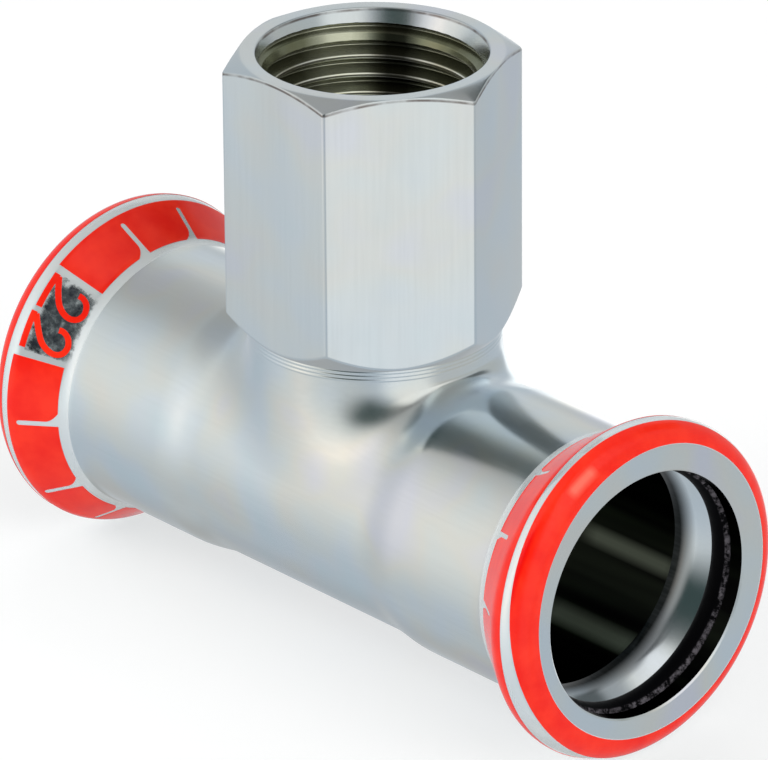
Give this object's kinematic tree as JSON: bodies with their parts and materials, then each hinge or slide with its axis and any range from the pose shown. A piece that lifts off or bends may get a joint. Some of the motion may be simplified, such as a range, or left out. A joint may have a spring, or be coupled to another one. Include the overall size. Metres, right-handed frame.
{
  "type": "press tee with threaded branch",
  "caption": "Zinc-plated steel press tee: two beaded press sockets in line, a pulled neck and a welded hexagonal branch with an inside thread, and red printed foil round the beads.",
  "frame": {"origin": "where the run's axis and the branch's axis cross", "axes": "+X along the run towards the right press socket, +Z along the branch out of its thread, +Y across"},
  "size_m": [0.0738, 0.0322, 0.0576],
  "materials": {
    "zinc": "bright zinc plating, satin",
    "print": "glossy red print",
    "foil": "clear glossy foil",
    "seal": "matt black rubber"
  },
  "bodies": {
    "root": {"tee_body": "zinc", "neck_weld": "zinc", "threaded_socket": "zinc", "seal_ring_left": "seal", "seal_ring_right": "seal", "foil_left": "foil", "foil_right": "foil", "print_left": "print", "print_right": "print"}
  },
  "joints": []
}
